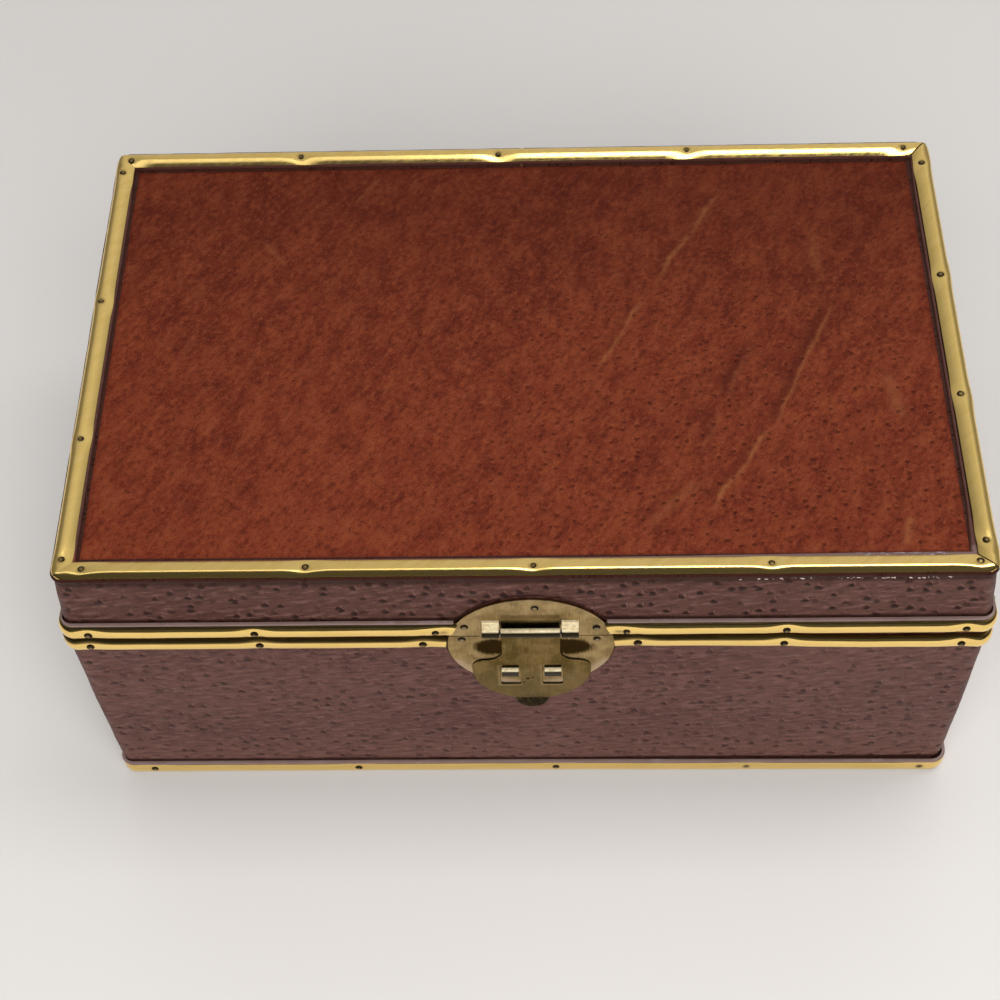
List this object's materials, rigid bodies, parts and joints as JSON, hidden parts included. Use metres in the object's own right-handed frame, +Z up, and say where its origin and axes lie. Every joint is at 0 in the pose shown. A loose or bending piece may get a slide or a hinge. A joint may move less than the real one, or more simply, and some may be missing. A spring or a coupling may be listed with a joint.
{
  "type": "leather trinket box",
  "caption": "Rectangular leather-covered wooden box with brass edge strips, a back-hinged lid and a hanging front hasp.",
  "frame": {"origin": "centre of the flat underside, on the surface that the box stands on", "axes": "+X along the box to the right, +Z up, the latch faces -Y and the hinges +Y"},
  "size_m": [0.2554, 0.1637, 0.1125],
  "materials": {
    "rust_leather": "waxed rust leather, mottled",
    "mauve_leather": "brownish mauve leather with quill pits",
    "wood": "plain sawn softwood",
    "lining_cloth": "plain burgundy cloth",
    "felt": "dark felt",
    "nail_brass": "domed heads, tarnished round the edge",
    "strip_brass": "polished half-round strip",
    "aged_brass": "brushed, dull antique brass"
  },
  "bodies": {
    "base": {"base_back_board": "wood", "base_bottom_board": "wood", "base_fitting_nails": "nail_brass", "base_floor_lining": "lining_cloth", "base_front_board": "wood", "base_leather": "mauve_leather", "base_left_board": "wood", "base_right_board": "wood", "base_rim_nails": "nail_brass", "base_rim_strip_back": "strip_brass", "base_rim_strip_left": "strip_brass", "base_rim_strip_right": "strip_brass", "base_wall_lining": "lining_cloth", "foot_nails": "nail_brass", "foot_roll": "mauve_leather", "foot_strip": "strip_brass", "hinge_left_base_leaf": "aged_brass", "hinge_left_pin": "aged_brass", "hinge_right_base_leaf": "aged_brass", "hinge_right_pin": "aged_brass", "latch_lower_plate": "aged_brass", "staple_left": "aged_brass", "staple_right": "aged_brass", "underside_cover": "felt"},
    "lid": {"hinge_left_lid_leaf": "aged_brass", "hinge_right_lid_leaf": "aged_brass", "knuckle_left": "aged_brass", "knuckle_right": "aged_brass", "latch_pin": "aged_brass", "latch_upper_plate": "aged_brass", "lid_back_rail": "wood", "lid_fitting_nails": "nail_brass", "lid_front_rail": "wood", "lid_leather": "mauve_leather", "lid_left_rail": "wood", "lid_right_rail": "wood", "lid_rim_nails": "nail_brass", "lid_rim_roll_back": "mauve_leather", "lid_rim_roll_left": "mauve_leather", "lid_rim_roll_right": "mauve_leather", "lid_rim_strip_back": "strip_brass", "lid_rim_strip_left": "strip_brass", "lid_rim_strip_right": "strip_brass", "lid_top_board": "wood", "lid_top_lining": "lining_cloth", "lid_wall_lining": "lining_cloth", "top_leather": "rust_leather", "top_nails": "nail_brass", "top_roll": "mauve_leather", "top_strip": "strip_brass", "top_strip_right": "strip_brass"},
    "hasp": {"hasp": "aged_brass"}
  },
  "joints": [
    {"name": "lid_open", "type": "hinge", "parent": "base", "child": "lid", "pos_m": [0, 0.079, 0.0838], "axis": [-1, 0, 0], "range_deg": [0, 105]},
    {"name": "hasp_swing", "type": "hinge", "parent": "lid", "child": "hasp", "pos_m": [0.0017, -0.08061, 0.08838], "axis": [-1, 0, 0], "range_deg": [0, 185]}
  ]
}
